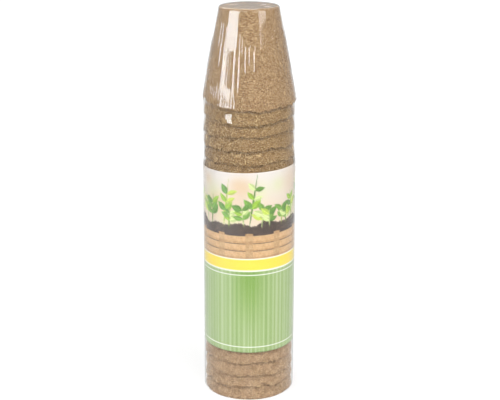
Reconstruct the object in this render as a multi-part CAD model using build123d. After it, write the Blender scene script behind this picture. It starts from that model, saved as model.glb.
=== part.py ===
from build123d import *
import math
import os

# A stack of round fibre seedling pots, nested upside down: a paper band goes round the middle
# of the stack, and a clear film sleeve holds everything together.
# Millimetres, +Z up. The origin is at the middle of the lowest pot's rim, on the ground.

# Pots
pot_count = 24
rim_diameter = 60.0
base_diameter = 38.0
pot_height = 63.0
wall = 1.25  # measured square to the wall
base_thickness = 1.8
nest_gap = 0.24  # between the walls of two nested pots, measured square to them
rim_round = 0.3
base_edge_round = 2.0
inner_corner_round = 1.2

# Paper band: it leaves the rims bare near the foot and under the top pot
bare_foot = 35.0
bare_shoulder = 40.0
band_thickness = 0.2
band_gap = 0.25  # between the rims and the band

# Film sleeve: open at the foot, closed over the top pot's base
film_thickness = 0.2
film_gap = 0.15  # between the band and the film
film_cone_gap = 0.3  # between the top pot's side and the film, measured square to them
film_foot_gap = 0.5  # the sleeve ends this far above the ground

# Sizes that follow from these
rim_radius = rim_diameter / 2
base_radius = base_diameter / 2
taper = math.atan2(rim_radius - base_radius, pot_height)
pitch = (wall + nest_gap) / math.sin(taper)  # from one nested pot to the next
column_height = (pot_count - 1) * pitch  # from the ground to the top pot's rim
stack_height = column_height + pot_height
band_inner_radius = rim_radius + band_gap
band_outer_radius = band_inner_radius + band_thickness
film_inner_radius = band_outer_radius + film_gap


def rounded(outline, rounds):
    """A face of an (radius, height) outline, with its corners rounded as (corner, radius) pairs say."""
    face = make_face(Polyline(*outline, close=True))
    for corner, radius in rounds:
        face = fillet(face.vertices().sort_by_distance(Vector(*corner))[0], radius)
    return face


def turned(face):
    """The solid that an (radius, height) face makes when it turns round the stack's axis."""
    return revolve(Plane.XZ * face, axis=Axis.Z)


def pot():
    """One pot, upside down: a tapered wall that stands on its rim and a flat base on top."""
    wall_across = wall / math.cos(taper)
    ceiling = pot_height - base_thickness
    rim_outside = (rim_radius, 0)
    rim_inside = (rim_radius - wall_across, 0)
    base_edge = (base_radius, pot_height)
    ceiling_corner = (rim_radius - wall_across - ceiling * math.tan(taper), ceiling)
    outline = [rim_outside, base_edge, (0, pot_height), (0, ceiling), ceiling_corner, rim_inside]
    rounds = [
        (rim_outside, rim_round),
        (rim_inside, rim_round),
        (base_edge, base_edge_round),
        (ceiling_corner, inner_corner_round),
    ]
    return turned(rounded(outline, rounds))


def band():
    """The paper band, a plain ring that lies round the rims."""
    band_top = column_height - bare_shoulder
    outline = [
        (band_inner_radius, bare_foot),
        (band_outer_radius, bare_foot),
        (band_outer_radius, band_top),
        (band_inner_radius, band_top),
    ]
    return turned(rounded(outline, []))


def film_corners(sleeve_radius, cone_gap, top):
    """Where one side of the film turns: at its foot, where it leaves the rims, and at the top's edge.

    cone_gap is that side's distance from the top pot's side, square to it.
    """
    edge_radius = base_radius + cone_gap / math.cos(taper)
    shoulder = stack_height - (sleeve_radius - edge_radius) / math.tan(taper)
    top_edge = (edge_radius - (top - stack_height) * math.tan(taper), top)
    return (sleeve_radius, film_foot_gap), (sleeve_radius, shoulder), top_edge


def film():
    """The film: a straight sleeve over the rims, then tight along the top pot's side and base."""
    film_top = stack_height + film_thickness
    inside = film_corners(film_inner_radius, film_cone_gap, stack_height)
    outside = film_corners(film_inner_radius + film_thickness, film_cone_gap + film_thickness, film_top)
    outline = [*outside, (0, film_top), (0, stack_height), *reversed(inside)]
    rounds = [
        (outside[-1], base_edge_round + film_thickness),
        (inside[-1], base_edge_round),
    ]
    return turned(rounded(outline, rounds))


os.makedirs("parts", exist_ok=True)

one_pot = pot()
for number in range(pot_count):
    nested = Pos(0, 0, number * pitch) * one_pot
    export_step(nested, f"parts/pot_{number + 1:02d}.step")
export_step(band(), "parts/label_band.step")
export_step(film(), "parts/film_wrap.step")

print(f"pitch {pitch:.3f}, column {column_height:.2f}, stack {stack_height:.2f}, film {film_inner_radius:.2f}")
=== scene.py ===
import math

import bpy
import numpy as np
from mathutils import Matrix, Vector, noise


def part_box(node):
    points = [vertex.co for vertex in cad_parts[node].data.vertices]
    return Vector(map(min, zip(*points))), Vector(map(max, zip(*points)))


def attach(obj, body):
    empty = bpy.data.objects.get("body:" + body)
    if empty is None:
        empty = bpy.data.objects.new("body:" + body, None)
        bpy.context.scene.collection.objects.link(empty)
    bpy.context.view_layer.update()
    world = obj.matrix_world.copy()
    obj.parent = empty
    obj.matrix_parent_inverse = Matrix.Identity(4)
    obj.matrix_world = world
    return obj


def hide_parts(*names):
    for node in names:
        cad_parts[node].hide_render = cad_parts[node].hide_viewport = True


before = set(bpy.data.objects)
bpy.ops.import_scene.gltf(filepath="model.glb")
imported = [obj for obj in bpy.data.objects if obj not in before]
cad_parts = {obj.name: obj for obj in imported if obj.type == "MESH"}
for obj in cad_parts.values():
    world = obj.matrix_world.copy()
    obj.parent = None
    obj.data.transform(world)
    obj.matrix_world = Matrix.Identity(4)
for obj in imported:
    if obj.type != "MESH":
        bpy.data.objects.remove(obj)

# A stack of fibre pots nested upside down, with a printed paper band and a clear film sleeve.
# Metres, in the frame's own axes. Angles round the stack start at the front, -Y, and grow towards +X.

MM = 0.001
TURN = 2 * math.pi
GAMMA = 2.2
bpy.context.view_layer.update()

# Places that the frame gives
POTS = sorted(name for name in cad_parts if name.startswith("pot_"))
RIM_HEIGHTS = [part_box(name)[0].z for name in POTS]
POT_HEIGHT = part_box(POTS[0])[1].z - RIM_HEIGHTS[0]
PITCH = RIM_HEIGHTS[1] - RIM_HEIGHTS[0]
STACK_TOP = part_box(POTS[-1])[1].z
BAND_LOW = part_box("label_band")[0].z
BAND_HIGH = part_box("label_band")[1].z
BAND_HEIGHT = BAND_HIGH - BAND_LOW
FILM_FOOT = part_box("film_wrap")[0].z
TOP_POT = len(POTS) - 1
TOP_RIM = RIM_HEIGHTS[TOP_POT]

# The pot's section, as in the solids
RIM_RADIUS = 30 * MM
BASE_RADIUS = 19 * MM
WALL = 1.25 * MM
BASE_THICKNESS = 1.8 * MM
EDGE_ROUND = 2.0 * MM
SLOPE = (RIM_RADIUS - BASE_RADIUS) / POT_HEIGHT
TAPER = math.atan(SLOPE)

# How far the stack leans to the right at its middle, at which height that is, and how fast it falls off
SWAY = 0.2 * MM
SWAY_MIDDLE = 140 * MM
SWAY_BEND = 0.02


# Numbers

NOISE_SHIFT = np.array([7.31, 3.17, 5.77])  # between the noise of two seeds


def smooth(value, low, high):
    """0 below low, 1 above high, and an even step between them."""
    share = np.clip((value - low) / (high - low), 0, 1)
    return share * share * (3 - 2 * share)


def ink(red, green, blue):
    """A colour of 0 to 255 per channel, as shares."""
    return np.array([red, green, blue]) / 255


def linear(*channels):
    """Such a colour, as a shader's own numbers."""
    return (*ink(*channels) ** GAMMA, 1.0)


def waves(angle, rng, counts, size, fall=0.0):
    """A ragged line round the stack: waves of these counts, each of about size / count ** fall."""
    line = np.zeros_like(angle)
    for count in counts:
        line += size / count**fall * rng.normal() * np.cos(count * angle + rng.uniform(0, TURN))
    return line


def rough(points, grain, seed):
    """Smooth noise of about -1 to 1 at points, with features of the size grain."""
    shift = Vector(seed * NOISE_SHIFT)
    flat = points.reshape(-1, 3) / grain
    values = [noise.noise(Vector(point) + shift) for point in flat]
    return np.array(values).reshape(points.shape[:-1])


def aside_of(value, middle, whole):
    """How far values are from a middle, the shorter way round a whole turn."""
    return (value - middle + whole / 2) % whole - whole / 2


def unit(vectors):
    return vectors / np.linalg.norm(vectors, axis=-1, keepdims=True)


# Meshes

def around(angle, radius, height):
    """Points at angles round an upright axis."""
    return np.stack(np.broadcast_arrays(radius * np.sin(angle), -radius * np.cos(angle), height), axis=-1)


def swayed(points, height):
    """Points moved sideways with the stack, which isn't quite straight."""
    moved = points.copy()
    moved[..., 0] += SWAY - SWAY_BEND * (height - SWAY_MIDDLE) ** 2
    return moved


def grid_faces(rows, columns, closed):
    """The quads of a grid of points, whose rows may close round on themselves.

    They face the side from which the rows go down and the columns to the right.
    """
    quads_across = columns if closed else columns - 1
    row, column = np.meshgrid(np.arange(rows - 1), np.arange(quads_across), indexing="ij")
    here, below = row * columns, (row + 1) * columns
    beside = (column + 1) % columns
    corners = [here + column, below + column, below + beside, here + beside]
    return np.stack(corners, axis=-1).reshape(-1, 4)


def add_object(name, data):
    """A new object in the scene."""
    made = bpy.data.objects.new(name, data)
    bpy.context.scene.collection.objects.link(made)
    return made


def new_piece(name, points, faces, materials, body, nodes):
    """A smooth mesh piece that rides on a body and stands for CAD nodes."""
    mesh = bpy.data.meshes.new(name)
    mesh.from_pydata(points.tolist(), [], faces)
    mesh.shade_smooth()
    for material in materials:
        mesh.materials.append(material)
    piece = add_object(name, mesh)
    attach(piece, body)
    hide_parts(*nodes)
    return piece


def lathe(rings, first_pole, last_pole):
    """Points and faces of a closed skin of rings, with a pole before the first and after the last."""
    count, columns = rings.shape[:2]
    points = np.concatenate([rings.reshape(-1, 3), [first_pole, last_pole]])
    faces = grid_faces(count, columns, True).tolist()
    first, last = count * columns, count * columns + 1
    for column in range(columns):
        beside = (column + 1) % columns
        faces.append((first, column, beside))
        faces.append((last, (count - 1) * columns + beside, (count - 1) * columns + column))
    return points, faces


# Materials

PEAT_COLOURS = [(136, 103, 69), (160, 128, 89), (202, 170, 128)]  # from dark to light
STRAW_BROWN = (150, 112, 70)
STRAW_GOLD = (226, 198, 146)
BLACK = (0, 0, 0, 1)
FULL_WHITE = (1, 1, 1, 1)

# How flecks in the peat are turned, and how long they are
PALE_FLECKS = [((0.3, 0.2, 0.5), 3.6 * MM), ((1.1, 0.4, 1.9), 2.8 * MM), ((0.5, 1.3, -0.7), 4.4 * MM)]
DARK_FLECKS = [((0.8, 0.1, 1.2), 2.2 * MM), ((0.1, 0.9, -1.1), 1.8 * MM)]

# Their colour, how much of it shows, their width and size, and whether they stand out or lie deep
FLECKS = [
    ((226, 198, 152), 0.65, 1.1 * MM, 0.24, "ADD", PALE_FLECKS),
    ((84, 58, 36), 0.6, 0.9 * MM, 0.3, "SUBTRACT", DARK_FLECKS),
]
FLECK_CORE = 0.6  # within this share of its size a fleck is whole


class Nodes:
    """The nodes of a material or a world, added one by one."""

    def __init__(self, owner):
        owner.use_nodes = True
        self.owner = owner
        self.tree = owner.node_tree
        self.tree.nodes.clear()

    def node(self, kind, inputs, **settings):
        """Adds a node and gives its outputs. inputs has numbers, colours or other nodes' sockets."""
        made = self.tree.nodes.new("ShaderNode" + kind)
        for key, value in settings.items():
            setattr(made, key, value)
        for key, value in inputs.items():
            if isinstance(value, bpy.types.NodeSocket):
                self.tree.links.new(value, made.inputs[key])
            else:
                made.inputs[key].default_value = value
        return made.outputs

    def math(self, operation, *values):
        return self.node("Math", dict(enumerate(values)), operation=operation)[0]

    def place(self):
        """The object's own coordinates."""
        return self.node("TexCoord", {})["Object"]

    def turned(self, source, rotation, scale):
        """Coordinates turned and then scaled."""
        inputs = {"Vector": source, "Rotation": rotation, "Scale": scale}
        return self.node("Mapping", inputs)["Vector"]

    def noise(self, vector, scale, detail, roughness=0.5):
        inputs = {"Vector": vector, "Scale": scale, "Detail": detail, "Roughness": roughness}
        return self.node("TexNoise", inputs)["Fac"]

    def ramp(self, value, low, high, first=0.0, last=1.0):
        """first where value is low, last where it is high, and even between them."""
        inputs = {"Value": value, "From Min": low, "From Max": high, "To Min": first, "To Max": last}
        return self.node("MapRange", inputs)["Result"]

    def mix(self, share, first, second, blend_type="MIX"):
        """A colour between two. The node's sockets for colours are inputs 6 and 7 and output 2."""
        inputs = {0: share, 6: first, 7: second}
        return self.node("Mix", inputs, data_type="RGBA", blend_type=blend_type)[2]

    def blended(self, share, first, second):
        """A surface between two."""
        return self.node("MixShader", {0: share, 1: first, 2: second})[0]

    def solid(self, colour, roughness, height, depth, strength, specular=0.5):
        """A surface that light doesn't enter, with bumps of about this depth."""
        bump = self.node("Bump", {"Height": height, "Distance": depth, "Strength": strength})[0]
        inputs = {
            "Base Color": colour,
            "Roughness": roughness,
            "Specular IOR Level": specular,
            "Normal": bump,
        }
        return self.node("BsdfPrincipled", inputs)[0]

    def finish(self, surface, output="OutputMaterial"):
        self.node(output, {"Surface": surface})
        return self.owner


def new_material(name):
    return Nodes(bpy.data.materials.new(name))


def flecks(shader, place, rotation, length, width, size):
    """A mask of thin flecks that lie one way. size is how much of its cell a fleck fills."""
    stretched = shader.turned(place, rotation, (1 / length, 1 / width, 1 / width))
    inputs = {"Vector": stretched, "Scale": 1.0, "Randomness": 1.0}
    distance = shader.node("TexVoronoi", inputs)["Distance"]
    return shader.ramp(distance, size, size * FLECK_CORE)


def peat_material(name, tone, cold, even):
    """Pressed peat: a mottled tan felt with pale straw flecks and dark ones.

    A lower tone is darker, a lower cold is yellower, and even is how much of the mottling is missing.
    """
    shader = new_material(name)
    place = shader.place()
    blotches = shader.ramp(shader.noise(place, scale=330, detail=5, roughness=0.62), low=0.36, high=0.64)
    mottling = shader.noise(place, scale=1000, detail=4, roughness=0.7)
    felt = shader.ramp(mottling, low=0.34, high=0.66, first=even)
    dark, middle, light = [
        linear(red * tone, green * tone, blue * tone * cold) for red, green, blue in PEAT_COLOURS
    ]
    colour = shader.mix(felt, dark, shader.mix(blotches, middle, light))
    height = felt
    for paint, cover, width, size, stands, lies in FLECKS:
        for rotation, length in lies:
            mask = flecks(shader, place, rotation, length, width, size)
            share = shader.math("MULTIPLY", mask, cover * (1 - even))
            colour = shader.mix(share, colour, linear(*paint))
            height = shader.math(stands, height, mask)
    roughness = shader.ramp(felt, low=0, high=1, first=0.95, last=0.82)
    surface = shader.solid(colour, roughness, height, depth=0.2 * MM, strength=1.0, specular=0.25)
    return shader.finish(surface)


def straw_material():
    """Loose straw fibres in the peat, golden with browner ones."""
    shader = new_material("straw")
    place = shader.place()
    shade = shader.ramp(shader.noise(place, scale=260, detail=2), low=0.35, high=0.65)
    colour = shader.mix(shade, linear(*STRAW_BROWN), linear(*STRAW_GOLD))
    grain = shader.noise(place, scale=3000, detail=2)
    roughness = shader.ramp(grain, low=0.3, high=0.7, first=0.5, last=0.7)
    return shader.finish(shader.solid(colour, roughness, grain, depth=0.05 * MM, strength=0.5))


def paper_material():
    """Printed paper: the colours painted on the mesh, with a fine paper grain."""
    shader = new_material("printed_paper")
    grain = shader.noise(shader.place(), scale=2600, detail=4, roughness=0.6)
    printed = shader.node("VertexColor", {}, layer_name="print")["Color"]
    tone = shader.mix(shader.ramp(grain, low=0.3, high=0.7), BLACK, FULL_WHITE)
    colour = shader.mix(share=0.12, first=printed, second=tone, blend_type="SOFT_LIGHT")
    roughness = shader.ramp(grain, low=0.3, high=0.7, first=0.4, last=0.55)
    return shader.finish(shader.solid(colour, roughness, grain, depth=0.03 * MM, strength=0.4))


def film_material():
    """Clear shrink film: thin glossy plastic that lets lamps through to what it covers."""
    shader = new_material("clear_film")
    inputs = {"Base Color": FULL_WHITE, "Roughness": 0.05, "IOR": 1.36, "Transmission Weight": 1.0}
    glossy = shader.node("BsdfPrincipled", inputs)[0]
    clear = shader.node("BsdfTransparent", {})[0]
    path = shader.node("LightPath", {})
    passes = shader.math("MAXIMUM", path["Is Shadow Ray"], path["Is Diffuse Ray"])
    return shader.finish(shader.blended(passes, glossy, clear))


# Pots

POT_COLUMNS = 320
WALL_ROWS = 12
RIM_ROWS = 16
EDGE_ROWS = 6  # round the edge of the base
BASE_RING_SHARES = (0.15, 0.4, 0.65, 0.85)
ROOF_RING_SHARES = (0.96, 0.6, 0.25)
ROOF_CORNER = 1 * MM  # so far below the roof the inside of the wall ends
pot_angles = np.arange(POT_COLUMNS) * TURN / POT_COLUMNS

# Looks of the peat: name, tone, cold and even. Part of this is painted light. The paler, cooler and more
# even look on the foot's pots is painted light from the floor and painted haze of the film there. The
# darker look on the five pots just under the top pot is painted shade from the rims above them; on the
# other pots in that list it is their own darker tone.
PEATS = [("pale", 1.0, 1.05, 0.4), ("middle", 1.0, 1.0, 0.0), ("dark", 0.92, 0.94, 0.0)]
PALE_LIT_POTS = (0, 1, 2, 3)
DARK_AND_SHADED_POTS = (9, 10, 14, 18, 19, 20, 21, 22)

# Felted wall: how high its relief is, of which grain, and how its seed differs from the pot's number
FELT = [(0.1 * MM, 4 * MM, 0), (0.06 * MM, 1.3 * MM, 50)]
FELT_FROM = 0.2 * BASE_RADIUS  # on the base the relief sets in here
FELT_FULL = 0.8 * BASE_RADIUS
FELT_INSIDE = 0.4  # how much is left under another pot

# Rims
RIM_SEED = 700
RIM_ZONE = 15 * MM  # the rim's unevenness fades out over this height
RIM_CORNER_IN = 0.075 * MM  # how much its corners are cut, in and up
RIM_CORNER_UP = 0.09 * MM
RIM_CHIPS = 18  # places round a rim where crumbs have broken off
CHIP_HALVES = (0.5 * MM, 2.4 * MM)  # half their width
CHIP_DEPTHS = (0.15 * MM, 0.8 * MM)
RIM_RAGS = [(range(6, 20), 0.13 * MM), (range(24, 130, 3), 0.09 * MM)]  # waves of its ragged edge
RIM_LIFTS = (range(1, 6), 0.42 * MM, 0.4)  # waves of how high it is
RIM_PUSHES = [(range(2, 7), 0.12 * MM), (range(20, 90, 3), 0.04 * MM)]  # waves of how far it stands out
PUSH_MOST = 0.4 * MM
RIM_MOST = RIM_RADIUS + 0.04 * MM  # all pots but the top one stay within this, so that the band clears them

# How much shorter the wall is at the sides than at the front, and how much its left is above its right,
# for the pots from the top down
SIDE_LIFTS = [3.6 * MM, 2.4 * MM, 0.8 * MM, 0.3 * MM]
LEFT_LIFTS = [0.9 * MM, -0.3 * MM, -0.5 * MM, 0.2 * MM]
SIDE_BULGES = [0.95 * MM, 0.1 * MM, 0, 0]  # and how far these sides bulge out at the rim

# Loose straw. Where a pot lies inside the next one, its straw is finer
STRAW_SEED = 300
STRAW_COUNT = 110
PALE_STRAW_COUNT = 40  # on what shows of a pale pot
STRAW_LOW = 0.2 * MM
STRAW_SHOWS = 1.15 * PITCH  # up to here a pot's wall shows
STRAW_HIGH = 0.94 * POT_HEIGHT
STRAW_LENGTHS = (1.4 * MM, 6.5 * MM)
STRAW_BENDS = (-0.5, 0.5)
STRAW_HALVES = (0.08 * MM, 0.24 * MM)  # half its width
STRAW_STANDS = (0.02 * MM, 0.12 * MM)  # how far off the wall it lies
NESTED_HALVES = (0.08 * MM, 0.1 * MM)
NESTED_STANDS = (0.02 * MM, 0.04 * MM)
STRAW_TIP = 0.02  # the square of how thin its ends are
STRAW_RIDGE = 0.6  # its height, as a share of half its width
STRAW_ROWS = 7
straw_steps = np.linspace(-0.5, 0.5, STRAW_ROWS)


def cone_radius(height):
    """The outside of a pot's wall at a height above its rim."""
    return RIM_RADIUS - height * SLOPE


def rim_chips(angle, rng):
    """How much has broken off a rim at angles round the stack."""
    gone = np.zeros_like(angle)
    for _ in range(RIM_CHIPS):
        middle, half = rng.uniform(0, TURN), rng.uniform(*CHIP_HALVES) / RIM_RADIUS
        aside = aside_of(angle, middle, TURN)
        gone += rng.uniform(*CHIP_DEPTHS) * np.exp(-((aside / half) ** 2))
    return gone


def rim_edge(number, angle):
    """How far a pot's rim is lifted and pushed out, and its side bulged, at angles round the stack."""
    rng = np.random.default_rng(RIM_SEED + number)
    ragged = sum(waves(angle, rng, *rag) for rag in RIM_RAGS) + rim_chips(angle, rng)
    lift = waves(angle, rng, *RIM_LIFTS) + ragged
    bulge = np.zeros_like(angle)
    below_top = TOP_POT - number
    if below_top < len(SIDE_LIFTS):
        lift += SIDE_LIFTS[below_top] * np.sin(angle) ** 2
        lift -= LEFT_LIFTS[below_top] * np.sin(angle)
        bulge += SIDE_BULGES[below_top] * np.sin(angle) ** 2
    if number == 0:
        lift = np.zeros_like(angle)  # the stack stands on this rim
    push = sum(waves(angle, rng, *wave) for wave in RIM_PUSHES)
    most = PUSH_MOST if number == TOP_POT else RIM_MOST - RIM_RADIUS
    return lift, np.clip(push, -PUSH_MOST, most), bulge


def pot_section():
    """Rings of one pot as (radius, height above the rim): from the base down its outside, and inside."""
    across = WALL / math.cos(TAPER)
    ceiling = POT_HEIGHT - BASE_THICKNESS
    round_height = POT_HEIGHT - EDGE_ROUND
    round_radius = cone_radius(round_height) - EDGE_ROUND / math.cos(TAPER)
    edge = [
        (round_radius + EDGE_ROUND * math.cos(turn), round_height + EDGE_ROUND * math.sin(turn))
        for turn in np.linspace(math.pi / 2, TAPER, EDGE_ROWS)
    ]
    disc = [(round_radius * share, POT_HEIGHT) for share in BASE_RING_SHARES]
    upper = np.linspace(edge[-1][1], RIM_ZONE, WALL_ROWS + 1)[1:]
    lower = RIM_ZONE * np.linspace(1, 0, RIM_ROWS + 1)[1:-1]
    outside = [(cone_radius(z), z) for z in [*upper, *lower]]
    corner = [(RIM_RADIUS - RIM_CORNER_IN, RIM_CORNER_UP), (RIM_RADIUS - across / 2, 0)]
    inner_corner = [(RIM_RADIUS - across + RIM_CORNER_IN, RIM_CORNER_UP)]
    inside_heights = [*lower[::-2], *np.linspace(RIM_ZONE, ceiling - ROOF_CORNER, WALL_ROWS)]
    inside = [(cone_radius(z) - across, z) for z in inside_heights]
    roof_radius = cone_radius(ceiling) - across
    roof = [(roof_radius * share, ceiling) for share in ROOF_RING_SHARES]
    return np.array(disc + edge + outside + corner), np.array(inner_corner + inside + roof)


def pot_skin(number, section, outer_rings):
    """The rings of one pot's skin, with its uneven rim and, on its outer rings, a felted wall."""
    lift, push, bulge = rim_edge(number, pot_angles)
    radius, height = section[:, :1], section[:, 1:]
    near_rim = np.clip(1 - height / RIM_ZONE, 0, 1) ** 2
    shows = smooth(radius, FELT_FROM, FELT_FULL) * (np.arange(len(section))[:, None] < outer_rings)
    radius = radius - lift * near_rim * SLOPE + push * near_rim + bulge * (1 - height / POT_HEIGHT)
    if number < TOP_POT:
        radius = np.minimum(radius, RIM_MOST)
        shows = shows * (FELT_INSIDE + (1 - FELT_INSIDE) * near_rim)
    points = around(pot_angles, radius, height + lift * near_rim + RIM_HEIGHTS[number])
    relief = sum(high * rough(points, grain, number + seed) for high, grain, seed in FELT)
    return points + around(pot_angles, relief * shows, 0)


def fibre(spine, away, half):
    """Points of a fibre with four sides that thins towards its ends. away is off the wall."""
    aside = np.cross(unit(np.gradient(spine, axis=0)), away)
    girth = half * np.sqrt(np.clip(1 - (2 * straw_steps) ** 2, STRAW_TIP, 1))[:, None]
    sides = [
        spine + aside * girth,
        spine + away * girth * STRAW_RIDGE,
        spine - aside * girth,
        spine - away * girth,
    ]
    return np.stack(sides, axis=1).reshape(-1, 3)


def straw(number, count, low, high, rng):
    """Points and faces of loose fibres that lie on a pot's outside between two heights above its rim."""
    lift, push, bulge = rim_edge(number, pot_angles)
    nested = number < TOP_POT and low > PITCH
    halves, stands = (NESTED_HALVES, NESTED_STANDS) if nested else (STRAW_HALVES, STRAW_STANDS)
    points, faces = [], []
    for _ in range(count):
        angle, height = rng.uniform(0, TURN), rng.uniform(low, high)
        column = int(angle / TURN * POT_COLUMNS) % POT_COLUMNS
        fade = max(0, 1 - height / RIM_ZONE) ** 2
        height += lift[column] * fade
        lean, bend = rng.uniform(0, math.pi), rng.uniform(*STRAW_BENDS)
        length, half = rng.uniform(*STRAW_LENGTHS), rng.uniform(*halves)
        turn = lean + bend * straw_steps
        rise = height + length * straw_steps * np.sin(turn)
        swing = angle + length * straw_steps * np.cos(turn) / RIM_RADIUS
        stand = cone_radius(rise) + push[column] * fade + bulge[column] * (1 - height / POT_HEIGHT)
        stand += rng.uniform(*stands)
        if number < TOP_POT:
            stand = np.minimum(stand, RIM_MOST)
        spine = around(swing, stand, np.maximum(rise, STRAW_LOW) + RIM_HEIGHTS[number])
        start = sum(len(p) for p in points)
        points.append(fibre(spine, around(swing, np.ones_like(swing), np.zeros_like(swing)), half))
        faces += (grid_faces(STRAW_ROWS, 4, True) + start).tolist()
        last = start + 4 * (STRAW_ROWS - 1)
        faces += [(start, start + 1, start + 2, start + 3), (last + 3, last + 2, last + 1, last)]
    return np.concatenate(points), faces


def make_pots():
    """The pots, each a felted skin with loose straw on it."""
    peats = {name: peat_material(f"peat_{name}", *looks) for name, *looks in PEATS}
    golden = straw_material()
    outer, inner = pot_section()
    section = np.concatenate([outer, inner])
    for number, node in enumerate(POTS):
        rng = np.random.default_rng(STRAW_SEED + number)
        # painted light and shade: the foot's pots get the paler peat, and the pots just under the top pot
        # get the darker one for the shade under their rims
        kind = "pale" if number in PALE_LIT_POTS else "dark" if number in DARK_AND_SHADED_POTS else "middle"
        base = RIM_HEIGHTS[number] + POT_HEIGHT
        poles = (0, 0, base), (0, 0, base - BASE_THICKNESS)
        points, faces = lathe(pot_skin(number, section, len(outer)), *poles)
        skin_faces = len(faces)
        showing = PALE_STRAW_COUNT if kind == "pale" else STRAW_COUNT
        spans = [(showing, STRAW_LOW, STRAW_SHOWS), (STRAW_COUNT, STRAW_SHOWS, STRAW_HIGH)]
        for count, low, high in spans:
            more_points, more_faces = straw(number, count, low, high, rng)
            faces += [[corner + len(points) for corner in face] for face in more_faces]
            points = np.concatenate([points, more_points])
        points = swayed(points, RIM_HEIGHTS[number])
        piece = new_piece(f"{node}_fibre", points, faces, [peats[kind], golden], node, [node])
        slots = np.zeros(len(faces), np.int32)
        slots[skin_faces:] = 1
        piece.data.polygons.foreach_set("material_index", slots)


# Paper band

BAND_RADIUS = RIM_RADIUS + 0.42 * MM
PAPER = 0.12 * MM
GIRTH = TURN * (BAND_RADIUS + PAPER)
BAND_OVERLAP = 10 * MM
OVERLAP_LIFT = 1.2 * PAPER  # the strip's end lies this much further out than its start
OVERLAP_CLIMB = 4 * MM  # and climbs there over this length
BAND_RISE = 0.5 * MM  # its upper edge is cut this much too high
BAND_SKEW = 0.9 * MM  # and as much higher still at the right as lower at the left
INNER_ROWS = 20

# Print, with heights above the band's foot
PRINT_SEED = 41
FIELD_TOP = 58 * MM  # the striped field's upper edge
RIBBON_TOP = 66 * MM
BOX_TOP = 82 * MM
SOIL_TOP = 90 * MM
PRINT_STEP = 0.5 * MM
FINE_LOW = FIELD_TOP - 5 * MM  # from here up the rows are as close as the columns
FIELD_ROWS = 22
FOOT_ROWS = np.array([0, 1, 3, 3.5, 4, 4.5, 5, 8]) * MM  # close where a white line is printed

# White lines: where they are, and half their height
PRINT_LINES = [
    (FIELD_TOP, 0.5 * MM),
    (RIBBON_TOP, 0.35 * MM),
    (FIELD_TOP - 3 * MM, 0.3 * MM),
    (4 * MM, 0.3 * MM),
]

CREAM = ink(226, 218, 212)
WARM_CREAM = ink(228, 208, 186)
SOIL = ink(58, 46, 40)
SOIL_CRUMB = ink(128, 104, 84)
BOARD = ink(222, 184, 136)
BOARD_SHADE = ink(182, 138, 92)
RIBBON = ink(250, 222, 72)
WHITE = ink(252, 252, 246)
GREENS = np.array([[148, 188, 62], [192, 214, 88], [118, 164, 70], [208, 226, 150], [96, 142, 58]]) / 255
PALE_GREEN = GREENS[3]
STRIPE_LIGHT = ink(180, 198, 148)
STRIPE_DARK = ink(138, 168, 96)
STRIPE_DEEP = ink(110, 152, 52)

# Soft spots of colour over the soil
SPOTS = 26
SPOT_SIZES = (4 * MM, 9 * MM)
SPOT_COVER = 0.35

SOIL_WAVES = [(range(3, 16), 0.5 * MM), (range(40, 150, 11), 0.12 * MM)]
CRUMB_TINT = 0.25
CRUMB_LIGHT = 0.6  # how much lighter some are, and which part isn't
CRUMB_LIMIT = 0.93

# Seedlings
SEEDLING_STEP = 7.2 * MM
SEEDLING_SHIFTS = (-2 * MM, 2 * MM)
SEEDLING_DEPTH = 3 * MM
SEEDLING_HEIGHTS = (10 * MM, 32 * MM)
SEEDLING_LEANS = (-0.16, 0.16)
STEM_REACH = 1.2  # as a share of the seedling's height
STEM_WIDTH = 1.3 * MM
STEM_TONE = 0.85
LEAF_SHARES = np.arange(0.42, 1.01, 0.2)  # how far up the stem pairs of leaves are
LEAF_LENGTHS = (5.5 * MM, 9.5 * MM)
LEAF_SHRINK = (1.15, 0.35)  # their size at the root, and how much less it is at the tip
LEAF_SPREADS = (0.55, 1.25)
LEAF_WIDTHS = (0.42, 0.6)  # as shares of their length
LEAF_BELLY = 0.8  # the lower, the nearer its root a leaf is widest
LEAF_EDGE = 0.5 * MM
LEAF_BLEED = 0.3  # how much is printed right at a leaf's edge
LEAF_SHADOW = 0.22  # how much shadow lies on its lower half, and of which tone
LEAF_SHADOW_TONE = 0.55
RIB_COVER = 0.5
RIB_SHARE = 0.06  # half the midrib's width, as a share of the leaf's
RIB_TONE = 1.25

# Wooden box
BOARDS = 3
POSTS = 10
POST_HALF = 2.4 * MM
POST_RISE = 1.5 * MM
POST_TONE = 0.93
WOOD_GRAIN = (range(40, 240, 17), 0.09)
WOOD_BENDS = 9  # how often the grain bends round the stack, and how far
WOOD_BEND = 0.4
WOOD_SHADE = 0.3
BOARD_FOOT = 0.35  # this share of a board, at its foot, is as much darker
BOARD_GAP = 0.09
BOARD_GAP_COVER = 0.75

# Striped field
STRIPES = 400
STRIPE_WIDTHS = (0.9 * MM, 2.0 * MM)
STRIPE_BASE = 0.25  # how light a dark stripe is, how much lighter a light one, and how far each may differ
STRIPE_STEP = 0.5
STRIPE_RANGE = 0.35
DEEP_HALF = 9 * MM  # half the width of the deeper green in front
DEEP_FROM = 8 * MM
DEEP_COVER = 0.75


def lay(canvas, cover, colour):
    """Prints a colour where cover is 1, in place."""
    canvas += (colour - canvas) * cover[..., None]


def blend(first, second, share):
    """Colours between two, as far along as share says."""
    return first + (second - first) * share[..., None]


def under(limit, value, edge=0.2 * MM):
    """A cover of what is under a limit, which fades out over twice the edge."""
    return smooth(limit - value, -edge, edge)


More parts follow.
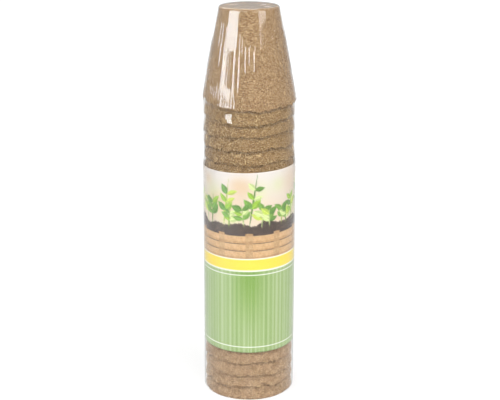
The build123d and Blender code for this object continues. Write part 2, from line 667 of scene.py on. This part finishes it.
def print_leaf(canvas, across, up, root, angle, length, width, colour):
    """Prints one pointed leaf with a pale midrib. across and up are the canvas's columns and rows."""
    aside = aside_of(across, root[0], GIRTH)
    columns = np.flatnonzero(np.abs(aside) < length)
    rows = np.flatnonzero(np.abs(up - root[1]) < length)
    x, y = np.meshgrid(aside[columns], up[rows] - root[1])
    along = (x * math.cos(angle) + y * math.sin(angle)) / length
    off = y * math.cos(angle) - x * math.sin(angle)
    half = width / 2 * np.sin(math.pi * np.clip(along, 0, 1) ** LEAF_BELLY)
    cover = np.clip((half - np.abs(off)) / LEAF_EDGE + LEAF_BLEED, 0, 1) * (along > 0) * (along < 1)
    window = canvas[np.ix_(rows, columns)]
    lay(window, cover, colour)
    lay(window, cover * LEAF_SHADOW * (off < 0), colour * LEAF_SHADOW_TONE)
    lay(window, cover * RIB_COVER * (np.abs(off) < width * RIB_SHARE), np.minimum(colour * RIB_TONE, 1))
    canvas[np.ix_(rows, columns)] = window


def print_seedlings(canvas, across, up, rng):
    """A row of young plants of several heights that grow out of the soil."""
    for place in np.arange(0, GIRTH, SEEDLING_STEP):
        root = np.array([place + rng.uniform(*SEEDLING_SHIFTS), SOIL_TOP - SEEDLING_DEPTH])
        tall = rng.uniform(*SEEDLING_HEIGHTS)
        lean = math.pi / 2 + rng.uniform(*SEEDLING_LEANS)
        colour = GREENS[rng.integers(len(GREENS))]
        print_leaf(canvas, across, up, root, lean, tall * STEM_REACH, STEM_WIDTH, colour * STEM_TONE)
        stem = np.array([math.cos(lean), math.sin(lean)])
        for share in LEAF_SHARES:
            at = root + stem * tall * share
            size = rng.uniform(*LEAF_LENGTHS) * (LEAF_SHRINK[0] - LEAF_SHRINK[1] * share)
            for side in (-1, 1):
                angle = lean + side * rng.uniform(*LEAF_SPREADS)
                colour = GREENS[rng.integers(len(GREENS))]
                print_leaf(canvas, across, up, at, angle, size, size * rng.uniform(*LEAF_WIDTHS), colour)


def blank_print(x, y, rng):
    """A cream ground, warmer towards the soil, with soft spots."""
    canvas = blend(CREAM, WARM_CREAM, smooth(y, BAND_HEIGHT, SOIL_TOP))
    for _ in range(SPOTS):
        middle = rng.uniform(0, GIRTH), rng.uniform(SOIL_TOP, BAND_HEIGHT)
        far = aside_of(x, middle[0], GIRTH) ** 2 + (y - middle[1]) ** 2
        size = rng.uniform(*SPOT_SIZES)
        tint = PALE_GREEN if rng.random() < 0.5 else BOARD
        lay(canvas, SPOT_COVER * np.exp(-far / size**2), tint)
    return canvas


def print_soil(canvas, across, y, rng):
    """Dark soil with lighter crumbs, below an uneven line."""
    line = SOIL_TOP + sum(waves(across / GIRTH * TURN, rng, *wave) for wave in SOIL_WAVES)
    crumbs = rng.random(y.shape)
    light = CRUMB_TINT * crumbs + CRUMB_LIGHT * (crumbs > CRUMB_LIMIT)
    lay(canvas, under(line, y, edge=0.4 * MM), blend(SOIL, SOIL_CRUMB, light))


def print_box(canvas, x, y, rng):
    """A box of boards and posts in front of the soil."""
    board = (y - RIBBON_TOP) / (BOX_TOP - RIBBON_TOP) * BOARDS % 1
    bend = WOOD_BEND * np.sin(x / GIRTH * TURN * WOOD_BENDS)
    grain = waves(y / BAND_HEIGHT * TURN + bend, rng, *WOOD_GRAIN)
    shade = np.clip(WOOD_SHADE + grain + BOARD_FOOT * (board < BOARD_FOOT), 0, 1)
    wood = blend(BOARD, BOARD_SHADE, shade)
    lay(canvas, under(BOX_TOP, y, edge=0.3 * MM), wood)
    lay(canvas, BOARD_GAP_COVER * (board < BOARD_GAP) * (y < BOX_TOP), SOIL)
    from_post = np.abs(aside_of(x, 0, GIRTH / POSTS))
    reach = (y < BOX_TOP + POST_RISE) * (y > RIBBON_TOP)
    lay(canvas, under(POST_HALF, from_post) * reach, wood * POST_TONE)


def print_field(canvas, x, y, rng):
    """Upright stripes of green, deeper in front."""
    edges = np.cumsum(rng.uniform(*STRIPE_WIDTHS, STRIPES))
    stripe = np.searchsorted(edges, x)
    tones = rng.uniform(0.0, 1.0, STRIPES + 2)[stripe]
    light = np.clip(STRIPE_BASE + STRIPE_STEP * (stripe % 2) + STRIPE_RANGE * (tones - 0.5), 0, 1)
    field = blend(STRIPE_DARK, STRIPE_LIGHT, light)
    deep = np.exp(-((aside_of(x, 0, GIRTH) / DEEP_HALF) ** 2)) * smooth(y, DEEP_FROM, FIELD_TOP)
    lay(field, DEEP_COVER * deep, STRIPE_DEEP)
    lay(canvas, under(FIELD_TOP, y), field)


def printed_band(across, up):
    """The band's print: seedlings in a plain wooden box over a ribbon and a striped green field.

    across and up are the columns and rows, in metres.
    """
    rng = np.random.default_rng(PRINT_SEED)
    x, y = np.meshgrid(across, up)
    canvas = blank_print(x, y, rng)
    print_soil(canvas, across, y, rng)
    print_seedlings(canvas, across, up, rng)
    print_box(canvas, x, y, rng)
    lay(canvas, under(RIBBON_TOP, y), RIBBON)
    print_field(canvas, x, y, rng)
    for line, half in PRINT_LINES:
        lay(canvas, under(half, np.abs(y - line), edge=0.15 * MM), WHITE)
    return np.clip(canvas, 0, 1) ** GAMMA


def ladder(first, second):
    """Triangles between two lines of points that start and end side by side."""
    first_steps, second_steps = len(first) - 1, len(second) - 1
    faces = []
    i = j = 0
    while i < first_steps or j < second_steps:
        first_lags = i < first_steps and (i + 1) * second_steps <= (j + 1) * first_steps
        if j == second_steps or first_lags:
            faces.append((first[i], first[i + 1], second[j]))
            i += 1
        else:
            faces.append((first[i], second[j + 1], second[j]))
            j += 1
    return faces


def make_band():
    """The band: one strip of paper round the stack, whose end lies over its start at the back."""
    length = GIRTH + BAND_OVERLAP
    across = np.linspace(0, length, round(length / PRINT_STEP))
    fine = np.linspace(FINE_LOW, BAND_HEIGHT, round((BAND_HEIGHT - FINE_LOW) / PRINT_STEP))
    field = np.linspace(FOOT_ROWS[-1], FINE_LOW, FIELD_ROWS)[1:-1]
    up = np.concatenate([FOOT_ROWS, field, fine])[::-1]
    inner_up = np.linspace(0, BAND_HEIGHT, INNER_ROWS)
    angle = math.pi + across / GIRTH * TURN
    climb = OVERLAP_LIFT * smooth(across, GIRTH - OVERLAP_CLIMB, GIRTH)
    askew = (BAND_RISE + BAND_SKEW * np.sin(angle)) / BAND_HEIGHT
    outside = around(angle, BAND_RADIUS + PAPER + climb, BAND_LOW + up[:, None] * (1 + askew))
    inside = around(angle, BAND_RADIUS + climb, BAND_LOW + inner_up[:, None] * (1 + askew))
    rows, columns = len(up) + len(inner_up), len(across)
    points = np.concatenate([outside, inside]).reshape(-1, 3)
    points = swayed(points, points[:, 2])
    column = np.arange(columns - 1)
    last = (rows - 1) * columns + column
    upper_edge = np.stack([last, column, column + 1, last + 1], axis=-1)
    faces = [*grid_faces(rows, columns, False).tolist(), *upper_edge.tolist()]
    outer_ends = np.arange(len(up)) * columns
    inner_ends = np.arange(rows - 1, len(up) - 1, -1) * columns
    faces += [face[::-1] for face in ladder(outer_ends, inner_ends)]
    faces += ladder(outer_ends + columns - 1, inner_ends + columns - 1)
    materials = [paper_material()]
    piece = new_piece("label_band_paper", points, faces, materials, "wrap", ["label_band"])
    print_colours = np.ones((rows, columns, 4))
    print_colours[:, :, :3] = WHITE**GAMMA
    print_colours[: len(up), :, :3] = printed_band((across - GIRTH / 2) % GIRTH, up)
    layer = piece.data.color_attributes.new("print", "FLOAT_COLOR", "POINT")
    layer.data.foreach_set("color", print_colours.astype(np.float32).ravel())


# Film

FILM = 0.07 * MM
FILM_COLUMNS = 720
FILM_THIN = 3  # below the top pot, only one of so many columns is kept
COLUMN_WIDTH = TURN * RIM_RADIUS / FILM_COLUMNS
film_angles = math.pi + np.arange(FILM_COLUMNS) * TURN / FILM_COLUMNS

# Rows, from the foot up
FILM_HEM = 0.15 * MM  # the lowest one, kept narrow so that smooth shading bends only there
LOW_ROWS = 12
BAND_ROWS = 14
FILM_STEP = 0.9 * MM  # between those from the band to the top pot
CONE_ROWS = 24
LID_RING_SHARES = (0.92, 0.8, 0.64, 0.46, 0.28, 0.12)

# What the film lies on, and how closely
FILM_GAP = 0.07 * MM  # over the paper
FILM_RADIUS = BAND_RADIUS + PAPER + FILM_GAP  # over the band, and straight down from it
FILM_RIM_GAP = 0.16 * MM  # over the uneven rims
FILM_RIM_RISE = 0.3 * MM  # so far above a rim's edge the film lies on it
RIM_MARGIN = 2 * MM  # rims as near to the band's edges as this don't hold the film
FILM_EASE = 18  # it passes over what is narrower than about twice as many columns
FILM_CONE_GAP = 0.4 * MM  # over the top pot's side
CONE_GAP_RISE = 14 * MM  # from the rim up, it grows so wide over this height
SHOULDER_RISE = 2 * MM  # so far above the top pot's rim the rows of its side start
LID = STACK_TOP + 0.04 * MM

# Between two rims the film lies along the wall up to FILM_TURN, and then runs out again. FILM_DRAW is how
# closely it does so in each span from the foot up: four below the band, the band and five above it
FILM_TURN = 0.78
FILM_BEND = 0.02  # how round that turn is
FILM_DRAW = [0.0, 0.0, 0.0, 0.0, 0.0, 0.4, 0.5, 0.45, 0.5, 1.0]
FILM_SIDE_DRAW = 0.35  # how much of that is left at the stack's sides
DRAW_SEED = 89
DRAW_WAVES = (range(3, 9), 0.06)
DRAW_LEAST = 0.1

# Unevenness
FILM_SEED = 97
FILM_FOLDS = (range(8, 30, 2), 0.01 * MM)  # upright folds along the top pot
FOLDS_BELOW = 4 * MM  # they set in between these distances from the shoulder
FOLDS_ABOVE = 10 * MM
LID_RIPPLES = (range(5, 30, 3), 0.02 * MM)
FILM_WAVE = 0.05 * MM
FILM_WAVE_GRAIN = 9 * MM
FILM_WAVE_SEED = 61
FILM_RIPPLE = 0.05 * MM  # finer, over the rims between the band and the top pot
FILM_RIPPLE_GRAIN = 2.6 * MM
FILM_RIPPLE_SEED = 67
RIPPLE_LOW = 4 * MM  # over this height above the band it sets in
RIPPLE_HIGH = 6 * MM  # and over this one below the shoulder it ends
SEAM_WIDTH = 4 * MM
SEAM_HEIGHT = 0.12 * MM
SEAM_EDGE = 0.8 * MM

# Rows of upright pleats over the top pot: how many and, in millimetres, half their width, their height, and
# the least and the most of where they start, along the film from the top's middle, and of their length
PLEAT_SEED = 131
PLEATS = [
    (54, 0.65, 0.36, (25, 46), (12, 36)),
    (47, 0.55, 0.3, (22, 56), (8, 30)),
    (110, 0.5, 0.14, (58, 68), (14, 26)),
]
PLEAT_CELLS = (0.25, 0.75)  # where in its share of the girth each one stands
PLEAT_HEIGHTS = (0.55, 1.2)  # how much lower or higher than the row's height it is
PLEAT_FADE = 5 * MM  # at both of its ends
PLEATS_LOW = 1 * MM  # above the top pot's rim: here the last of the pleats ends
PLEATS_FULL = 5 * MM  # and from here up they have their whole height

# In this sector, in degrees from the front, these pleats stand in place of the rows: their angle and, in
# millimetres, half their width, their height, where they start, and their length
FRONT_SECTOR = (-64, 60)
FRONT_PLEATS = [
    (-54.5, 0.75, 0.4, 26, 20),
    (-48.5, 0.75, 0.32, 27, 30),
    (-41, 0.7, 0.2, 30, 40),
    (-33, 0.5, 0.3, 43, 26),
    (-27, 1.8, 0.8, 44, 25),
    (-19.5, 0.6, 0.35, 39, 36),
    (-13.5, 0.9, 0.22, 33, 40),
    (-9.5, 0.8, 0.25, 34, 14),
    (-4.5, 0.95, 0.4, 39, 22),
    (1.3, 0.9, 0.48, 39, 18),
    (8.3, 0.9, 0.6, 41, 20),
    (17.5, 0.8, 0.12, 42, 19),
    (40, 0.7, 0.2, 33, 24),
    (47, 0.7, 0.28, 30, 32),
    (55, 0.6, 0.33, 40, 32),
]
FRONT_PLEATS += [(-59 + 4.2 * n, 0.5, 0.3 - 0.035 * n, 63 + n % 3, 14 + n % 2) for n in range(5)]
FRONT_PLEATS += [(-35 + 3.4 * n, 0.5, 0.3, 70 + 2 * (n % 3), 15) for n in range(6)]

# Gathers in the lid, in the same measures, with widths as they would be at the rim
LID_PLEATS = [
    (-165, 3.4, 0.2, 4, 15),
    (-128, 2.6, 0.16, 7, 13),
    (-97, 3.8, 0.24, 5, 15),
    (-70, 3.0, 0.2, 8, 12),
    (-38, 3.6, 0.16, 6, 13),
    (-12, 2.8, 0.12, 9, 10),
    (26, 3.4, 0.18, 5, 14),
    (58, 2.6, 0.2, 8, 12),
    (93, 3.8, 0.24, 4, 16),
    (121, 2.8, 0.16, 7, 13),
    (152, 3.4, 0.2, 6, 14),
]


def stretched(height, support_heights, support_radii):
    """The film's radius where it is stretched between supports, one column of them for each angle."""
    rng = np.random.default_rng(DRAW_SEED)
    at_sides = FILM_SIDE_DRAW + (1 - FILM_SIDE_DRAW) * np.cos(film_angles) ** 2
    draws = np.array([
        draw * np.clip(at_sides + waves(film_angles, rng, *DRAW_WAVES), DRAW_LEAST, 1) for draw in FILM_DRAW
    ])
    radius = np.empty((len(height), FILM_COLUMNS))
    for column in range(FILM_COLUMNS):
        at, out = support_heights[:, column], support_radii[:, column]
        span = np.clip(np.searchsorted(at, height) - 1, 0, len(at) - 2)
        room = at[span + 1] - at[span]
        share = np.clip((height - at[span]) / room, 0, 1)
        outwards = (1 - share) * FILM_TURN / (1 - FILM_TURN)
        inward = (share + outwards - np.sqrt((share - outwards) ** 2 + FILM_BEND)) / 2
        sag = draws[span, column] * SLOPE * room * inward
        radius[:, column] = out[span] + (out[span + 1] - out[span]) * share - sag
    return radius


def eased(values):
    """Values round the stack, each the mean of its neighbours: film bridges what is small."""
    return np.mean([np.roll(values, shift) for shift in range(-FILM_EASE, FILM_EASE + 1)], axis=0)


def supports():
    """Heights and radii of what holds the film: rims that show, and the paper band's edges."""
    straight = np.full(FILM_COLUMNS, FILM_RADIUS)
    heights, radii = [], []
    for number, rim in enumerate(RIM_HEIGHTS):
        if BAND_LOW - RIM_MARGIN < rim < BAND_HIGH + RIM_MARGIN:
            continue
        lift, push, bulge = rim_edge(number, film_angles)
        heights.append(rim + eased(lift) + FILM_RIM_RISE)
        on_rim = cone_radius(eased(lift)) + eased(push) + bulge + FILM_RIM_GAP
        radii.append(straight if rim < BAND_LOW else on_rim)
    for edge in (BAND_LOW, BAND_HIGH):
        heights.append(np.full(FILM_COLUMNS, edge))
        radii.append(straight)
    order = np.argsort([height.mean() for height in heights])
    return np.array(heights)[order], np.array(radii)[order]


def all_pleats():
    """Each pleat's middle column and, in millimetres, half its width, its height, start and length."""
    rng = np.random.default_rng(PLEAT_SEED)
    first, last = [(0.5 + angle / 360) * FILM_COLUMNS for angle in FRONT_SECTOR]
    for count, width, height, starts, lengths in PLEATS:
        for cell in range(count):
            middle = round((cell + rng.uniform(*PLEAT_CELLS)) * FILM_COLUMNS / count)
            start, length = rng.uniform(*starts), rng.uniform(*lengths)
            height_here = height * rng.uniform(*PLEAT_HEIGHTS)
            if not first < middle < last:
                yield middle, width, height_here, start, length
    for angle, *sizes in FRONT_PLEATS + LID_PLEATS:
        yield (0.5 + angle / 360) * FILM_COLUMNS, *sizes


def pleats(down):
    """How far the film stands out in pleats, for rows at these arc lengths from the top's middle."""
    column = np.arange(FILM_COLUMNS)
    relief = np.zeros((len(down), FILM_COLUMNS))
    for middle, *sizes in all_pleats():
        width, height, start, length = [size * MM for size in sizes]
        aside = aside_of(column, middle, FILM_COLUMNS)
        ridge = np.clip(1 - np.abs(aside) * COLUMN_WIDTH / width, 0, 1)
        whole = np.clip(np.minimum(down - start, start + length - down) / PLEAT_FADE, 0, 1)
        relief = np.maximum(relief, height * whole[:, None] * ridge)
    return relief


def outward(rings):
    """Directions out of a skin of rings that go down."""
    down = np.gradient(rings, axis=0)
    across = np.roll(rings, -1, axis=1) - np.roll(rings, 1, axis=1)
    return unit(np.cross(down, across))


def film_side(rng):
    """The film up to its lid's edge: its rows' heights, their radii, and the shoulder's height."""
    heights, radii = supports()
    top_rim = heights[-1]
    shoulder = top_rim.max() + SHOULDER_RISE
    low = [FILM_FOOT, *np.linspace(FILM_FOOT + FILM_HEM, BAND_LOW, LOW_ROWS, endpoint=False)]
    band = np.linspace(BAND_LOW, BAND_HIGH, BAND_ROWS)
    high = np.arange(BAND_HIGH + FILM_STEP, shoulder, FILM_STEP)
    cone = np.linspace(shoulder, STACK_TOP - EDGE_ROUND, CONE_ROWS)
    rows = np.concatenate([low, band, high, cone])
    tight = stretched(rows, heights, radii)
    tight[(rows >= BAND_LOW) & (rows <= BAND_HIGH)] = FILM_RADIUS
    rows = rows[:, None]
    cone_height = rows - TOP_RIM
    bulge = rim_edge(TOP_POT, film_angles)[2]
    gap = FILM_RIM_GAP + (FILM_CONE_GAP - FILM_RIM_GAP) * smooth(rows - top_rim, 0, CONE_GAP_RISE)
    along_cone = cone_radius(cone_height) + bulge * (1 - cone_height / POT_HEIGHT) + gap / math.cos(TAPER)
    radius = np.where(rows > top_rim, along_cone, tight)
    folds = waves(film_angles, rng, *FILM_FOLDS)
    radius += folds * smooth(rows, shoulder - FOLDS_BELOW, shoulder + FOLDS_ABOVE)
    from_seam = np.abs(aside_of(film_angles, math.pi, TURN)) * RIM_RADIUS
    radius += SEAM_HEIGHT * smooth(SEAM_WIDTH / 2 - from_seam, 0, SEAM_EDGE)
    return rows, radius, shoulder


def film_lid(edge_radius, rng):
    """The film's rings round the top pot's edge, and then across its base."""
    round_height = STACK_TOP - EDGE_ROUND
    disc_radius = edge_radius - EDGE_ROUND / math.cos(TAPER)
    rings = []
    for turn in np.linspace(TAPER, math.pi / 2, EDGE_ROWS)[1:]:
        radius = disc_radius + EDGE_ROUND * math.cos(turn)
        rings.append(around(film_angles, radius, round_height + (LID - round_height) * math.sin(turn)))
    ripple = np.abs(waves(film_angles, rng, *LID_RIPPLES))
    for share in LID_RING_SHARES:
        rings.append(around(film_angles, disc_radius * share, LID + ripple * share**2))
    return np.array(rings)


def film_relief(rings, shoulder):
    """How far the film stands out from its plain form, for rings from the lid's middle down."""
    height = rings[..., 2]
    steps = np.linalg.norm(np.diff(rings[:, 0], axis=0), axis=1)
    down = np.concatenate([[0], np.cumsum(steps)]) + np.linalg.norm(rings[0, 0, :2])
    relief = pleats(down) * smooth(height, TOP_RIM + PLEATS_LOW, TOP_RIM + PLEATS_FULL)
    relief += FILM_WAVE * (1 + rough(rings, FILM_WAVE_GRAIN, FILM_WAVE_SEED))
    over_rims = smooth(height, BAND_HIGH, BAND_HIGH + RIPPLE_LOW)
    over_rims *= smooth(height, shoulder, shoulder - RIPPLE_HIGH)
    return relief + FILM_RIPPLE * over_rims * (1 + rough(rings, FILM_RIPPLE_GRAIN, FILM_RIPPLE_SEED))


def film_rings():
    """The film's inner skin as rings from the top's middle down to the foot."""
    rng = np.random.default_rng(FILM_SEED)
    rows, radius, shoulder = film_side(rng)
    side = around(film_angles, radius, rows)
    rings = np.concatenate([side, film_lid(radius[-1], rng)])[::-1]
    return rings + outward(rings) * film_relief(rings, shoulder)[..., None]


def film_skin(rings, fine):
    """Points, faces and the foot's points of a skin that keeps all columns in its first fine rings only."""
    upper, lower = rings[:fine], rings[fine:, ::FILM_THIN]
    points = np.concatenate([upper.reshape(-1, 3), lower.reshape(-1, 3)])
    faces = grid_faces(fine, FILM_COLUMNS, True).tolist()
    last, first, few = (fine - 1) * FILM_COLUMNS, fine * FILM_COLUMNS, lower.shape[1]
    for column in range(few):
        here = [last + (column * FILM_THIN + step) % FILM_COLUMNS for step in range(FILM_THIN + 1)]
        below, beside = first + column, first + (column + 1) % few
        faces += [(here[0], below, here[1]), (here[1], below, beside, here[2]), (here[2], beside, here[3])]
    faces += (grid_faces(len(lower), few, True) + first).tolist()
    return points, faces, np.arange(len(points) - few, len(points))


def make_film():
    """The film: an outer and an inner skin that meet at the foot."""
    inner = film_rings()
    outer = inner + outward(inner) * FILM
    fine = int((inner[:, :, 2].min(axis=1) > TOP_RIM + PLEATS_LOW).sum())
    outer_points, outer_faces, outer_foot = film_skin(outer, fine)
    inner_points, inner_faces, inner_foot = film_skin(inner, fine)
    start = len(outer_points)
    poles = [(0, 0, LID + FILM), (0, 0, LID)]
    points = np.concatenate([outer_points, inner_points, poles])
    faces = outer_faces + [[corner + start for corner in face[::-1]] for face in inner_faces]
    outer_pole, inner_pole = len(points) - 2, len(points) - 1
    for column in range(FILM_COLUMNS):
        beside = (column + 1) % FILM_COLUMNS
        faces += [(outer_pole, column, beside), (inner_pole, start + beside, start + column)]
    foot = np.stack([outer_foot, inner_foot + start], axis=-1)
    for here, beside in zip(foot, np.roll(foot, -1, axis=0)):
        faces.append((here[0], here[1], beside[1], beside[0]))
    points = swayed(points, np.minimum(points[:, 2], TOP_RIM))
    new_piece("film_wrap_sleeve", points, faces, [film_material()], "wrap", ["film_wrap"])


# Stage

CAMERA_PLACE = (0.7 * MM, -751 * MM, 365 * MM)
CAMERA_PITCH = math.radians(17.2)  # downwards
CAMERA_LENS = 84.6  # on a sensor 36 wide
FLOOR_REACH = 6.0
FLOOR_GREY = (0.8, 0.8, 0.8, 1)
PLAIN = (1, 1, 1)

# Lamps: azimuth from the front towards +X and elevation in degrees, distance, size, power, tint, and
# the kind of rays that don't see them
LAMPS = [
    ("left_box", -56.5, 18, 1.3, (0.8, 0.8), 27.5, (0.84, 0.92, 1), "visible_diffuse"),
    ("right_box", 49, 25, 1.3, (0.62, 0.48), 5.5, PLAIN, "visible_diffuse"),
    ("left_fill", -38, 44, 2.2, (1.5, 1.2), 27, PLAIN, "visible_glossy"),
    ("right_fill", 42, 44, 2.2, (1.9, 1.4), 41, PLAIN, "visible_glossy"),
    ("back_fill", 205, 48, 1.5, (1.2, 0.8), 11, PLAIN, "visible_glossy"),
]


def make_lamp(name, azimuth, elevation, distance, size, power, tint, unseen):
    """A rectangular lamp that faces the stack's middle."""
    aim = Vector((0, 0, STACK_TOP / 2))
    turn, rise = math.radians(azimuth), math.radians(elevation)
    away = Vector((math.sin(turn) * math.cos(rise), -math.cos(turn) * math.cos(rise), math.sin(rise)))
    data = bpy.data.lights.new(name, "AREA")
    data.shape = "RECTANGLE"
    data.size, data.size_y = size
    data.energy = power
    data.color = tint
    lamp = add_object(name, data)
    lamp.location = aim + away * distance
    lamp.rotation_euler = (-away).to_track_quat("-Z", "Y").to_euler()
    setattr(lamp, unseen, False)


def floor_material():
    """White where the camera looks at it, with the stack's shadow, and dim where the film mirrors it.

    Only what lies behind the stack is mirrored as white.
    """
    shader = new_material("floor")
    path = shader.node("LightPath", {})
    place = shader.place()
    far = shader.node("VectorMath", {0: place}, operation="LENGTH")["Value"]
    axes = shader.node("SeparateXYZ", {"Vector": place})
    backwards = shader.math("MAXIMUM", axes["Y"], 0.01)
    aside = shader.math("DIVIDE", shader.math("ABSOLUTE", axes["X"]), backwards)
    behind = shader.math("MULTIPLY", path["Is Glossy Ray"], shader.ramp(aside, low=0.9, high=0.3))
    dimming = shader.ramp(far, low=0.05, high=0.5, first=0.2, last=0.95)
    grey = shader.mix(shader.math("MULTIPLY", path["Is Glossy Ray"], dimming), FLOOR_GREY, BLACK)
    matte = shader.node("BsdfDiffuse", {"Color": grey})[0]
    lit = shader.node("Emission", {"Color": FULL_WHITE, "Strength": 1.1})[0]
    looked_at = shader.math("MAXIMUM", path["Is Camera Ray"], path["Is Transmission Ray"])
    white = shader.ramp(far, low=0.1, high=0.5, first=0.68, last=1.0)
    share = shader.math("MULTIPLY", shader.math("MAXIMUM", looked_at, behind), white)
    return shader.finish(shader.blended(share, matte, lit))


def make_floor():
    """A plain square floor."""
    corners = [(x * FLOOR_REACH, y * FLOOR_REACH, 0) for x, y in [(-1, -1), (1, -1), (1, 1), (-1, 1)]]
    mesh = bpy.data.meshes.new("floor")
    mesh.from_pydata(corners, [], [(0, 1, 2, 3)])
    mesh.materials.append(floor_material())
    floor = add_object("floor", mesh)


def make_world():
    """A dim room, a little lighter behind the stack, that shows white where the camera looks at it."""
    world = Nodes(bpy.data.worlds.new("studio"))
    direction = world.node("TexCoord", {})["Generated"]
    backwards = world.node("SeparateXYZ", {"Vector": direction})["Y"]
    room = world.ramp(backwards, low=0.3, high=0.95, first=0.2, last=0.3)
    path = world.node("LightPath", {})
    looked_at = world.math("MAXIMUM", path["Is Camera Ray"], path["Is Transmission Ray"])
    inputs = {"Color": FULL_WHITE, "Strength": world.math("MAXIMUM", room, looked_at)}
    background = world.node("Background", inputs)[0]
    bpy.context.scene.world = world.finish(background, "OutputWorld")


def make_camera():
    data = bpy.data.cameras.new("camera")
    data.lens = CAMERA_LENS
    camera = add_object("camera", data)
    camera.location = CAMERA_PLACE
    camera.rotation_euler = (math.pi / 2 - CAMERA_PITCH, 0, 0)
    bpy.context.scene.camera = camera


make_pots()
make_band()
make_film()
make_floor()
make_world()
for lamp in LAMPS:
    make_lamp(*lamp)
make_camera()
bpy.context.scene.view_settings.view_transform = "Standard"
